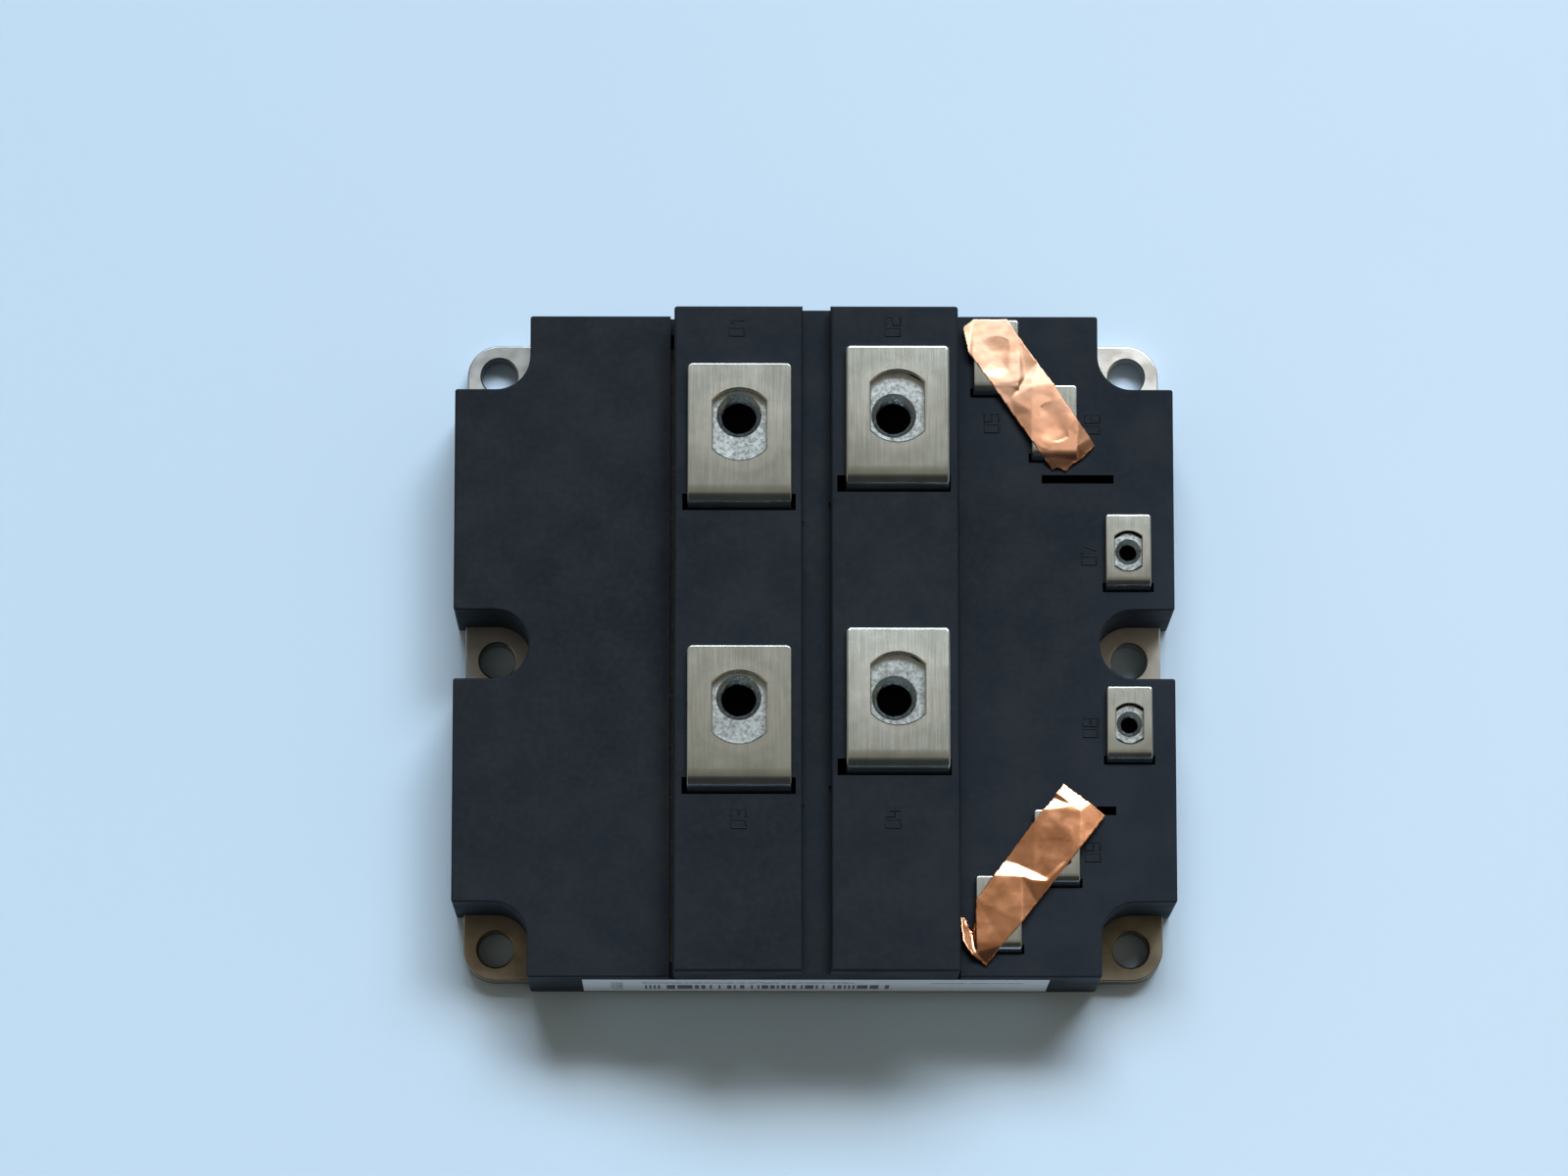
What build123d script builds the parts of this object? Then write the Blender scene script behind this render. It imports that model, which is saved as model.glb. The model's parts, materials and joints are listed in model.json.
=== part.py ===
from build123d import *
from math import isclose
import os

os.makedirs("parts", exist_ok=True)

# A dual power-switch module: four wide busbar terminals in two raised ridges, six small control
# terminals on the right wing. Millimetres. X runs along the long side, Y towards the back (away from
# the label), Z up. The origin is the centre of the base plate's underside.

# Base plate and its screw holes
PLATE_LENGTH = 136.6
PLATE_DEPTH = 126.4
PLATE_THICK = 5.0
PLATE_CORNER_R = 6.3
PLATE_EDGE_R = 0.3
HOLE_FROM_END = 6.3
HOLE_FROM_SIDE = 6.2
HOLE_X = PLATE_LENGTH / 2 - HOLE_FROM_END
HOLE_Y = PLATE_DEPTH / 2 - HOLE_FROM_SIDE
HOLE_R = 3.5
HOLE_EDGE = 0.3

# Case frame
SKIRT_OUT = 1.6
CASE_LENGTH = PLATE_LENGTH + 2 * SKIRT_OUT
CASE_DEPTH = PLATE_DEPTH + 2 * SKIRT_OUT
SKIRT_FOOT = 0.8
SKIRT_CLEAR = 0.2
WALL = 3.2
WING_TOP = 26.2
ROOF = 3.0
SCREW_SPACE_R = 6.7
CASE_CORNER_R = 0.5
WING_EDGE_R = 0.4
SEAL_MARGIN = 0.4
SEAL_WIDTH = WALL - SKIRT_OUT - 2 * SEAL_MARGIN
SEAL_HEIGHT = 0.8
WELL_FROM_END = 18.65
WELL_FROM_SIDE = 32.3
WELL_LENGTH = 14.0
WELL_WIDTH = 1.7
WELL_DEPTH = 8.0
WELL_WALL = 1.4
LABEL_X = 0.35
LABEL_LENGTH = 90.2
LABEL_FOOT = 1.75
LABEL_TO_WING = 4.45
LABEL_THICK = 0.15
LABEL_MARGIN = 0.1

# Terminal block, the moulding with the two ridges, dropped into the case from above
BLOCK_LEFT = -27.15
BLOCK_RIGHT = 27.8
GAP_LEFT = 0.8
GAP_RIGHT = 0.35
RIDGE_RISE = 9.8
RIDGE_TOP = WING_TOP + RIDGE_RISE
GROOVE_LEFT = -2.3
GROOVE_RIGHT = 3.1
GROOVE_DEPTH = 4.4
RIDGE_EDGE_R = 0.6
BLOCK_WALL = 3.0
BLOCK_ROOF = 3.0

# Power terminals: a tab with a double-D hole, bent down through a slot to feet on the circuits
TAB_THICK = 2.0
TAB_TOP = RIDGE_TOP + TAB_THICK
TAB_WIDTH = 20.0
TAB_LENGTH = 28.4
TAB_CORNER_R = 1.0
TAB_BEND_R = 3.0
TAB_HOLE_R = 7.0
TAB_HOLE_FLATS = 10.3
TAB_HOLE_FROM_TIP = 12.0
TAB_HOLE_EDGE = 0.25
LEFT_TAB_EDGE_R = 0.2
RIGHT_TAB_EDGE_R = 0.5
SLOT_END_CLEAR = 0.25
SLOT_FRONT_CLEAR = 0.15
SLOT_BACK_CLEAR = 0.1
CHIMNEY_WALL = 1.6
LEFT_COLUMN_X = -14.6
RIGHT_COLUMN_X = 15.3
LEFT_TAB_SHIFT = 0.1
RIGHT_TAB_SHIFT = 0.7
LEFT_LEG_FROM_ROW = -2.9
RIGHT_LEG_FROM_ROW = 0.75
BAR_TOP = 20.0
BAR_FOOT = 14.0
BAR_TO_CHIMNEY = 1.5
BAR_REACH = 17.0
FOOT_WIDTH = 8.0
FOOT_LENGTH = 5.6
FOOT_THICK = 1.5

# M8 nuts, loose in hexagonal pockets under the tabs
M8_NUT_FROM_ROW = 15.6
M8_FLATS = 17.0
M8_HEIGHT = 6.5
M8_BORE_R = 3.4
M8_CHAMFER_R = 4.35
M8_CORNER = 0.7
M8_POCKET_CLEAR = 0.2
M8_POCKET_SPARE = 0.3
M8_SCREW_DEPTH = 16.0
M8_WELL_R = 4.4

# Control terminals: small tabs with legs that jog sideways to the gate board
CONTROL_THICK = 1.0
CONTROL_PAD_RISE = 0.8
CONTROL_TOP = WING_TOP + CONTROL_PAD_RISE + CONTROL_THICK
CONTROL_WIDTH = 8.9
CONTROL_LENGTH = 14.9
CONTROL_CORNER_R = 0.7
CONTROL_BEND_R = 2.0
CONTROL_HOLE_R = 3.95
CONTROL_HOLE_FLATS = 5.2
CONTROL_HOLE_FROM_TIP = 7.35
CONTROL_HOLE_EDGE = 0.15
CONTROL_EDGE_R = 0.35
CONTROL_PAD_INSET = 0.2
CONTROL_SLOT_END = 0.5
CONTROL_SLOT_FRONT = 0.2
CONTROL_SLOT_BACK = 0.6
TAIL_WIDTH = 3.0
TAIL_TOP = 20.0
TAIL_JOG = 5.0
TAIL_JOG_Z = 15.0
TAIL_BELOW_BOARD = 0.8

# Where the control terminals stand: the middle of each in X, the outer face of its leg in Y
E_FROM_BLOCK = 7.6
G_FROM_E = 11.3
C_FROM_END = 9.0
E_X = BLOCK_RIGHT + E_FROM_BLOCK
G_X = E_X + G_FROM_E
C_X = CASE_LENGTH / 2 - C_FROM_END
E2_LEG_FROM_BACK = 15.9
G2_LEG_FROM_BACK = 28.8
C2_LEG_Y = 10.5
C1_LEG_Y = -23.3
G1_LEG_FROM_FRONT = 17.5
E1_LEG_FROM_FRONT = 4.65
CONTROL_SPOTS = {
    "e2": (E_X, CASE_DEPTH / 2 - E2_LEG_FROM_BACK),
    "g2": (G_X, CASE_DEPTH / 2 - G2_LEG_FROM_BACK),
    "c2": (C_X, C2_LEG_Y),
    "c1": (C_X, C1_LEG_Y),
    "g1": (G_X, G1_LEG_FROM_FRONT - CASE_DEPTH / 2),
    "e1": (E_X, E1_LEG_FROM_FRONT - CASE_DEPTH / 2),
}

# M4 nuts under the control terminals
M4_FLATS = 7.0
M4_HEIGHT = 3.2
M4_BORE_R = 1.65
M4_CHAMFER_R = 2.5
M4_CORNER = 0.4
M4_POCKET_CLEAR = 0.1
M4_POCKET_SPARE = 0.1
M4_SCREW_DEPTH = 8.0
M4_WELL_R = 2.3

# Walls around the nuts and under the wells below them
NUT_WALL = 1.2
FLOOR_WALL = 1.4

# Ceramic substrates soldered to the base plate, one under each power terminal
SUBSTRATE_FROM_SIDE = 9.6
SUBSTRATE_FROM_WALL = 3.6
SUBSTRATE_GAP_X = 5.0
SUBSTRATE_GAP_Y = 3.2
SUBSTRATE_RIM = 1.0
SOLDER_THICK = 0.25
COPPER_THICK = 0.3
CERAMIC_THICK = 0.64
TRACK_GAP = 0.8
EMITTER_STRIP = 8.0
EMITTER_RUN = 4.7
COLLECTOR_RUN = 4.0
GATE_PAD = 4.0

# Chips, bond wires, pins and gate board
CHIP_THICK = 0.35
CHIP_FROM_END = 7.75
CHIP_FROM_PAD = 8.2
CHIP_GAP = 4.75
CHIP_MARGIN = 0.7
CHIP_SPARE = 4.6
DIODE_SMALLER_BY = 2.5
WIRE_THICK = 0.35
WIRE_RISE = 1.9
WIRE_FOOT = 0.8
WIRE_LANDING = 1.2
IGBT_WIRE_COUNT = 3
DIODE_WIRE_COUNT = 2
PIN_R = 0.5
PIN_ABOVE_BOARD = 1.0
BOARD_FOOT = 10.2
BOARD_THICK = 1.6
BOARD_EDGE = 1.6
BOARD_TO_TERMINAL = 3.0
BOARD_CLEAR = 0.6
RESISTOR_SIZE = (3.2, 6.3, 1.2)
RESISTOR_FROM_PIN = 6.4
GEL_TO_WELLS = 0.4

# Copper foil strips stuck across two pairs of control terminals. Each corner of an outline is given
# from the middle of the terminal that it lies beside, at the outer face of that terminal's leg.
FOIL_THICK = 0.12
FOIL_SLOPE_RUN = 5.2
FOIL_SLOPE_DROP = 1.7
UPPER_FOIL_OUTLINE = [
    ("e2", -6.4, 13.3), ("e2", -4.1, 15.2), ("e2", 2.1, 15.2), ("g2", 7.9, 3.0), ("g2", 2.5, -2.1),
    ("g2", -0.7, -2.1), ("e2", -5.4, 8.3)
]
LOWER_FOIL_OUTLINE = [
    ("g1", 1.4, 19.7), ("g1", 8.9, 13.5), ("e1", -2.1, -2.25), ("e1", -5.8, -0.45), ("e1", -6.5, 7.75)
]

# Sizes that follow from the ones above
OVERSIZE = 30.0
ROOF_FOOT = WING_TOP - ROOF
WALL_INNER_Y = CASE_DEPTH / 2 - WALL
WELL_FLOOR = WING_TOP - WELL_DEPTH
GEL_TOP = WELL_FLOOR - FLOOR_WALL - GEL_TO_WELLS
GROOVE_FLOOR = RIDGE_TOP - GROOVE_DEPTH
CHIMNEY_FOOT = BAR_TOP + BAR_TO_CHIMNEY
SLOT_LENGTH = TAB_WIDTH + 2 * (max(LEFT_TAB_SHIFT, RIGHT_TAB_SHIFT) + SLOT_END_CLEAR)
CONTROL_SLOT_WIDTH = CONTROL_SLOT_FRONT + CONTROL_THICK + CONTROL_SLOT_BACK
SOLDER_TOP = PLATE_THICK + SOLDER_THICK
BACK_COPPER_TOP = SOLDER_TOP + COPPER_THICK
CERAMIC_TOP = BACK_COPPER_TOP + CERAMIC_THICK
CIRCUIT_TOP = CERAMIC_TOP + COPPER_THICK
CHIP_TOP = CIRCUIT_TOP + CHIP_THICK
BOARD_TOP = BOARD_FOOT + BOARD_THICK
SUBSTRATE_END = HOLE_X - SCREW_SPACE_R - WALL - SUBSTRATE_FROM_WALL
SUBSTRATE_LENGTH = SUBSTRATE_END - SUBSTRATE_GAP_X / 2
SUBSTRATE_DEPTH = (PLATE_DEPTH - SUBSTRATE_GAP_Y) / 2 - SUBSTRATE_FROM_SIDE
SUBSTRATE_X = SUBSTRATE_END - SUBSTRATE_LENGTH / 2
ROW_PITCH = SUBSTRATE_DEPTH + SUBSTRATE_GAP_Y
ROW_Y = ROW_PITCH / 2
ROWS = (0.0, -ROW_PITCH)
COPPER_LENGTH = SUBSTRATE_LENGTH - 2 * SUBSTRATE_RIM
COPPER_DEPTH = SUBSTRATE_DEPTH - 2 * SUBSTRATE_RIM
STRIP_LOW = TRACK_GAP / 2
STRIP_TOP = STRIP_LOW + EMITTER_STRIP
CHIP_RUN = COPPER_LENGTH - GATE_PAD - TRACK_GAP - CHIP_FROM_END - CHIP_FROM_PAD
IGBT_LENGTH = (CHIP_RUN - CHIP_GAP + DIODE_SMALLER_BY) / 2
IGBT_DEPTH = COPPER_DEPTH / 2 - STRIP_TOP - TRACK_GAP - CHIP_MARGIN - CHIP_SPARE
DIODE_LENGTH = IGBT_LENGTH - DIODE_SMALLER_BY
DIODE_DEPTH = IGBT_DEPTH - DIODE_SMALLER_BY


# Small helpers

def block(x_low, x_high, y_low, y_high, z_low, z_high):
    """A box given by its limits."""
    size = (x_high - x_low, y_high - y_low, z_high - z_low)
    return Pos(x_low, y_low, z_low) * Box(*size, align=(Align.MIN, Align.MIN, Align.MIN))


def column(radius, x, y, z_low, z_high):
    """A round upright bar between two heights."""
    bar = Cylinder(radius, z_high - z_low, align=(Align.CENTER, Align.CENTER, Align.MIN))
    return Pos(x, y, z_low) * bar


def hexagon(flats, x, y, z_low, z_high):
    """A six-sided upright bar, measured across its flats, two of its corners along Y."""
    plan = RegularPolygon(flats / 2, 6, major_radius=False, rotation=30)
    return Pos(x, y, z_low) * extrude(plan, z_high - z_low)


def corner_radius(flats):
    """From the middle of a hexagon to its corners, from its width across the flats."""
    return flats / 3 ** 0.5


def bore(radius, rim, x, y, z_low, z_high):
    """A round hole between two heights, widened to the rim's radius at both ends."""
    cone = Cone(rim, radius, rim - radius, align=(Align.CENTER, Align.CENTER, Align.MIN))
    hole = column(radius, x, y, z_low, z_high)
    hole += Pos(x, y, z_low) * cone
    return hole + Pos(x, y, z_high) * Rot(180, 0, 0) * cone


def raise_plan(plan, z_low, z_high):
    """A plan turned into a solid between two heights."""
    return Pos(0, 0, z_low) * extrude(plan, z_high - z_low)


def double_d(radius, flats):
    """A round hole with two straight sides."""
    return Circle(radius) & Rectangle(flats, 2 * radius)


# Plans of the case and of the base plate

def case_plan(inset=0.0):
    """The case from above, each wall moved inwards by inset, with the screw spaces left out."""
    half_x = CASE_LENGTH / 2 - inset
    half_y = CASE_DEPTH / 2 - inset
    plan = Rectangle(2 * half_x, 2 * half_y)
    radius = SCREW_SPACE_R + inset
    for side in (-1, 1):
        middle = Circle(radius) + Pos(side * OVERSIZE / 2, 0) * Rectangle(OVERSIZE, 2 * radius)
        plan -= Pos(side * HOLE_X, 0) * middle
        for end in (-1, 1):
            wide = Pos(side * (OVERSIZE - radius) / 2, end * OVERSIZE / 2)
            deep = Pos(side * OVERSIZE / 2, end * (OVERSIZE - radius) / 2)
            corner = Circle(radius)
            corner += wide * Rectangle(OVERSIZE + radius, OVERSIZE)
            corner += deep * Rectangle(OVERSIZE, OVERSIZE + radius)
            plan -= Pos(side * HOLE_X, end * HOLE_Y) * corner
    outer = [v for v in plan.vertices() if isclose(abs(v.X), half_x) or isclose(abs(v.Y), half_y)]
    return fillet(outer, CASE_CORNER_R)


def plate_plan(grow=0.0):
    """The base plate from above, without its holes."""
    return RectangleRounded(PLATE_LENGTH + 2 * grow, PLATE_DEPTH + 2 * grow, PLATE_CORNER_R + grow)


def make_base_plate():
    plate = raise_plan(plate_plan(), 0, PLATE_THICK)
    plate = fillet(plate.edges().group_by(Axis.Z)[-1], PLATE_EDGE_R)
    for x in (-HOLE_X, HOLE_X):
        for y in (-HOLE_Y, 0, HOLE_Y):
            plate -= bore(HOLE_R, HOLE_R + HOLE_EDGE, x, y, 0, PLATE_THICK)
    return plate


# Where each terminal stands

def power_spot(left, shift_y):
    """Middle in X, outer face of the leg in Y and the way the feet point for one power terminal."""
    row_y = ROW_Y + shift_y
    if left:
        return LEFT_COLUMN_X + LEFT_TAB_SHIFT, row_y + LEFT_LEG_FROM_ROW, -1
    return RIGHT_COLUMN_X + RIGHT_TAB_SHIFT, row_y + RIGHT_LEG_FROM_ROW, 1


def m8_spot(left, shift_y):
    """Where the nut lies in the moulding under one power terminal."""
    return (LEFT_COLUMN_X if left else RIGHT_COLUMN_X), ROW_Y + shift_y + M8_NUT_FROM_ROW


def m4_spot(name):
    """Where the nut lies under one control terminal."""
    x, leg_y = CONTROL_SPOTS[name]
    return x, leg_y + CONTROL_LENGTH - CONTROL_HOLE_FROM_TIP


POWER_PLACES = [(left, shift) for shift in ROWS for left in (True, False)]
M8_POCKET_FLOOR = TAB_TOP - TAB_THICK - M8_HEIGHT - M8_POCKET_SPARE
M8_WELL_FLOOR = TAB_TOP - M8_SCREW_DEPTH
M8_POCKET = M8_FLATS + 2 * M8_POCKET_CLEAR
M4_POCKET_FLOOR = CONTROL_TOP - CONTROL_THICK - M4_HEIGHT - M4_POCKET_SPARE
M4_WELL_FLOOR = CONTROL_TOP - M4_SCREW_DEPTH
M4_POCKET = M4_FLATS + 2 * M4_POCKET_CLEAR


# Case frame and terminal block

def label_recess(grow):
    """The shallow space in the front wall for the label."""
    half = LABEL_LENGTH / 2 + grow
    low = LABEL_FOOT - grow
    high = WING_TOP - LABEL_TO_WING + grow
    front = -CASE_DEPTH / 2
    return block(LABEL_X - half, LABEL_X + half, front, front + LABEL_THICK, low, high)


def seal_ring():
    inset = SKIRT_OUT + SEAL_MARGIN
    plan = case_plan(inset) - case_plan(inset + SEAL_WIDTH)
    return raise_plan(plan, PLATE_THICK, PLATE_THICK + SEAL_HEIGHT)


def make_case_frame():
    outer = raise_plan(case_plan(), PLATE_THICK, WING_TOP)
    top_rim = outer.edges().group_by(Axis.Z)[-1]
    frame = fillet(top_rim, WING_EDGE_R)
    frame -= raise_plan(case_plan(WALL), PLATE_THICK, ROOF_FOOT)
    frame += raise_plan(case_plan() - plate_plan(SKIRT_CLEAR), SKIRT_FOOT, PLATE_THICK)
    left = BLOCK_LEFT - GAP_LEFT
    right = BLOCK_RIGHT + GAP_RIGHT
    frame -= block(left, right, -CASE_DEPTH, CASE_DEPTH, ROOF_FOOT, WING_TOP + OVERSIZE)
    inside = raise_plan(case_plan(WALL), PLATE_THICK, WING_TOP)
    wells = []
    for end in (-1, 1):
        x_low = CASE_LENGTH / 2 - WELL_FROM_END - WELL_LENGTH / 2
        y_low = end * (CASE_DEPTH / 2 - WELL_FROM_SIDE) - WELL_WIDTH / 2
        x_high = x_low + WELL_LENGTH
        y_high = y_low + WELL_WIDTH
        frame += block(x_low - WELL_WALL, x_high + WELL_WALL, y_low - WELL_WALL, y_high + WELL_WALL,
                       WELL_FLOOR - FLOOR_WALL, ROOF_FOOT)
        wells.append(block(x_low, x_high, y_low, y_high, WELL_FLOOR, WING_TOP))
    boss_r = corner_radius(M4_POCKET) + NUT_WALL
    for name in CONTROL_SPOTS:
        frame += column(boss_r, *m4_spot(name), M4_WELL_FLOOR - FLOOR_WALL, ROOF_FOOT) & inside
    for well in wells:
        frame -= well
    for name, (x, leg_y) in CONTROL_SPOTS.items():
        nut_x, nut_y = m4_spot(name)
        half = CONTROL_WIDTH / 2 - CONTROL_PAD_INSET
        pad_low = leg_y + CONTROL_BEND_R
        pad_high = leg_y + CONTROL_LENGTH - CONTROL_PAD_INSET
        frame += block(x - half, x + half, pad_low, pad_high, WING_TOP, CONTROL_TOP - CONTROL_THICK)
        frame -= hexagon(M4_POCKET, nut_x, nut_y, M4_POCKET_FLOOR, CONTROL_TOP)
        frame -= column(M4_WELL_R, nut_x, nut_y, M4_WELL_FLOOR, CONTROL_TOP)
        slot_low = leg_y - CONTROL_SLOT_FRONT
        slot_half = CONTROL_WIDTH / 2 + CONTROL_SLOT_END
        frame -= block(x - slot_half, x + slot_half, slot_low, slot_low + CONTROL_SLOT_WIDTH,
                       ROOF_FOOT, WING_TOP)
    frame -= label_recess(LABEL_MARGIN)
    frame -= seal_ring()
    return frame


def leg_slot(left, shift_y):
    """Limits in X and Y of the slot that one power terminal's leg passes through."""
    middle_x, _ = m8_spot(left, shift_y)
    _, leg_y, _ = power_spot(left, shift_y)
    y_high = leg_y + TAB_BEND_R + SLOT_BACK_CLEAR
    return middle_x - SLOT_LENGTH / 2, middle_x + SLOT_LENGTH / 2, leg_y - SLOT_FRONT_CLEAR, y_high


def make_terminal_block():
    half_y = CASE_DEPTH / 2
    moulding = block(BLOCK_LEFT, BLOCK_RIGHT, -half_y, half_y, ROOF_FOOT, RIDGE_TOP)
    moulding = fillet(moulding.edges().filter_by(Axis.Z), RIDGE_EDGE_R)
    moulding -= block(GROOVE_LEFT, GROOVE_RIGHT, -half_y, half_y, GROOVE_FLOOR, RIDGE_TOP)
    top_edges = moulding.faces().filter_by(Axis.Z).group_by(Axis.Z)[-1].edges()
    moulding = fillet(top_edges, RIDGE_EDGE_R)
    for x_low, x_high, roof in (
        (BLOCK_LEFT + BLOCK_WALL, GROOVE_LEFT - BLOCK_WALL, RIDGE_TOP - BLOCK_ROOF),
        (GROOVE_LEFT - BLOCK_WALL, GROOVE_RIGHT + BLOCK_WALL, GROOVE_FLOOR - BLOCK_ROOF),
        (GROOVE_RIGHT + BLOCK_WALL, BLOCK_RIGHT - BLOCK_WALL, RIDGE_TOP - BLOCK_ROOF),
    ):
        moulding -= block(x_low, x_high, -WALL_INNER_Y, WALL_INNER_Y, ROOF_FOOT, roof)
    boss_r = corner_radius(M8_POCKET) + NUT_WALL
    for left, shift in POWER_PLACES:
        x, y = m8_spot(left, shift)
        x_low, x_high, y_low, y_high = leg_slot(left, shift)
        moulding += column(boss_r, x, y, M8_WELL_FLOOR - FLOOR_WALL, RIDGE_TOP - BLOCK_ROOF)
        moulding += block(max(x_low - CHIMNEY_WALL, BLOCK_LEFT), min(x_high + CHIMNEY_WALL, BLOCK_RIGHT),
                          y_low - CHIMNEY_WALL, y_high + CHIMNEY_WALL, CHIMNEY_FOOT, RIDGE_TOP - BLOCK_ROOF)
    for left, shift in POWER_PLACES:
        x, y = m8_spot(left, shift)
        moulding -= block(*leg_slot(left, shift), CHIMNEY_FOOT, RIDGE_TOP)
        moulding -= hexagon(M8_POCKET, x, y, M8_POCKET_FLOOR, RIDGE_TOP)
        moulding -= column(M8_WELL_R, x, y, M8_WELL_FLOOR, RIDGE_TOP)
    return moulding


def make_label():
    return label_recess(0.0)


# Terminals and nuts

def bent_strip(width, length, top, thick, bend_r, foot):
    """A flat tab along +Y that bends down at Y = 0 to a leg ending at the foot height."""
    inner = bend_r - thick
    turn = top - bend_r
    outline = Polyline((0, turn), (0, foot), (thick, foot), (thick, turn))
    outline += RadiusArc((thick, turn), (bend_r, top - thick), inner)
    outline += Polyline((bend_r, top - thick), (length, top - thick), (length, top), (bend_r, top))
    outline += RadiusArc((bend_r, top), (0, turn), -bend_r)
    section = make_face(outline)
    return Pos(-width / 2, 0, 0) * extrude(Plane.YZ * section, width)


def top_face(shape):
    return shape.faces().filter_by(Axis.Z).sort_by(Axis.Z)[-1]


def finish_tab(strip, corner_r, edge_r, hole, hole_y, hole_edge):
    """Rounds the tab's two free corners and its upper edges, and cuts its hole with a bevelled rim."""
    tab = fillet(strip.edges().filter_by(Axis.Z).group_by(Axis.Y)[-1], corner_r)
    bend_line_first = top_face(tab).edges().sort_by(Axis.Y)
    tab = fillet(bend_line_first[1:], edge_r)
    top = top_face(tab).center().Z
    tab -= Pos(0, hole_y, top - OVERSIZE / 2) * extrude(hole, OVERSIZE)
    return chamfer(top_face(tab).inner_wires()[0].edges(), hole_edge)


def make_power_terminal(left, shift_y):
    x, leg_y, way = power_spot(left, shift_y)
    strip = bent_strip(TAB_WIDTH, TAB_LENGTH, TAB_TOP, TAB_THICK, TAB_BEND_R, BAR_FOOT)
    hole = double_d(TAB_HOLE_R, TAB_HOLE_FLATS)
    hole_y = TAB_LENGTH - TAB_HOLE_FROM_TIP
    edge_r = LEFT_TAB_EDGE_R if left else RIGHT_TAB_EDGE_R
    terminal = Pos(x, leg_y, 0) * finish_tab(strip, TAB_CORNER_R, edge_r, hole, hole_y, TAB_HOLE_EDGE)
    x_low, x_high = sorted((x + way * TAB_WIDTH / 2, -way * BAR_REACH))
    terminal += block(x_low, x_high, leg_y, leg_y + TAB_THICK, BAR_FOOT, BAR_TOP)
    foot_low = leg_y if way > 0 else leg_y + TAB_THICK - FOOT_LENGTH
    for foot_x in (x_low, x_high - FOOT_WIDTH):
        terminal += block(foot_x, foot_x + FOOT_WIDTH, leg_y, leg_y + TAB_THICK, CIRCUIT_TOP, BAR_FOOT)
        terminal += block(foot_x, foot_x + FOOT_WIDTH, foot_low, foot_low + FOOT_LENGTH,
                          CIRCUIT_TOP, CIRCUIT_TOP + FOOT_THICK)
    return terminal


def make_control_terminal(name):
    x, leg_y = CONTROL_SPOTS[name]
    strip = bent_strip(CONTROL_WIDTH, CONTROL_LENGTH, CONTROL_TOP, CONTROL_THICK, CONTROL_BEND_R, TAIL_TOP)
    hole = double_d(CONTROL_HOLE_R, CONTROL_HOLE_FLATS)
    hole_y = CONTROL_LENGTH - CONTROL_HOLE_FROM_TIP
    tab = finish_tab(strip, CONTROL_CORNER_R, CONTROL_EDGE_R, hole, hole_y, CONTROL_HOLE_EDGE)
    terminal = Pos(x, leg_y, 0) * tab
    half = TAIL_WIDTH / 2
    jog_low = TAIL_JOG_Z - CONTROL_THICK
    jog_y = leg_y + TAIL_JOG
    terminal += block(x - half, x + half, leg_y, leg_y + CONTROL_THICK, jog_low, TAIL_TOP)
    terminal += block(x - half, x + half, leg_y, jog_y + CONTROL_THICK, jog_low, TAIL_JOG_Z)
    terminal += tail_end(name, jog_low)
    return terminal


def tail_end(name, top):
    """The last stretch of a control terminal's leg, which is soldered into the gate board."""
    x, leg_y = CONTROL_SPOTS[name]
    y = leg_y + TAIL_JOG
    foot = BOARD_FOOT - TAIL_BELOW_BOARD
    return block(x - TAIL_WIDTH / 2, x + TAIL_WIDTH / 2, y, y + CONTROL_THICK, foot, top)


def make_nut(flats, height, bore_r, chamfer_r, corner, x, y, floor):
    """A hexagon nut lying on the floor height, its bore and its corners chamfered."""
    turned = chamfer(Cylinder(corner_radius(flats), height).edges().filter_by(GeomType.CIRCLE), corner)
    body = Pos(x, y, floor + height / 2) * turned & hexagon(flats, x, y, floor, floor + height)
    return body - bore(bore_r, chamfer_r, x, y, floor, floor + height)


def make_m8_nuts():
    places = [m8_spot(left, shift) for left, shift in POWER_PLACES]
    return [make_nut(M8_FLATS, M8_HEIGHT, M8_BORE_R, M8_CHAMFER_R, M8_CORNER, x, y, M8_POCKET_FLOOR)
            for x, y in places]


def make_m4_nuts():
    places = [m4_spot(name) for name in CONTROL_SPOTS]
    return [make_nut(M4_FLATS, M4_HEIGHT, M4_BORE_R, M4_CHAMFER_R, M4_CORNER, x, y, M4_POCKET_FLOOR)
            for x, y in places]


# Foil strips

def make_foil(corners):
    """A thin strip lying flat on two control terminals and sloping down past their outer edges."""
    outline = [(CONTROL_SPOTS[name][0] + x, CONTROL_SPOTS[name][1] + y) for name, x, y in corners]
    spots = [CONTROL_SPOTS[name] for name, _, _ in corners]
    x_low = min(x for x, _ in spots) - CONTROL_WIDTH / 2
    x_high = max(x for x, _ in spots) + CONTROL_WIDTH / 2
    y_low = min(y for _, y in spots) + CONTROL_BEND_R / 2
    y_high = max(y for _, y in spots) + CONTROL_LENGTH
    middle = Pos((x_low + x_high) / 2, (y_low + y_high) / 2, CONTROL_TOP)
    flat = Rectangle(x_high - x_low, y_high - y_low)
    spread = Rectangle(x_high - x_low + 2 * FOIL_SLOPE_RUN, y_high - y_low + 2 * FOIL_SLOPE_RUN)
    drape = middle * loft([Pos(0, 0, -FOIL_SLOPE_DROP) * spread, flat])
    under = raise_plan(make_face(Polyline(*outline, close=True)), WING_TOP, CONTROL_TOP) & drape
    over = Pos(0, 0, FOIL_THICK) * under
    return over - under


# Substrates, chips and bond wires

def substrate_centre(side, shift_y):
    return side * SUBSTRATE_X, ROW_Y + shift_y


def layer(length, depth, side, shift_y, z_low, z_high):
    x, y = substrate_centre(side, shift_y)
    return Pos(x, y, z_low) * extrude(Rectangle(length, depth), z_high - z_low)


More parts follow.
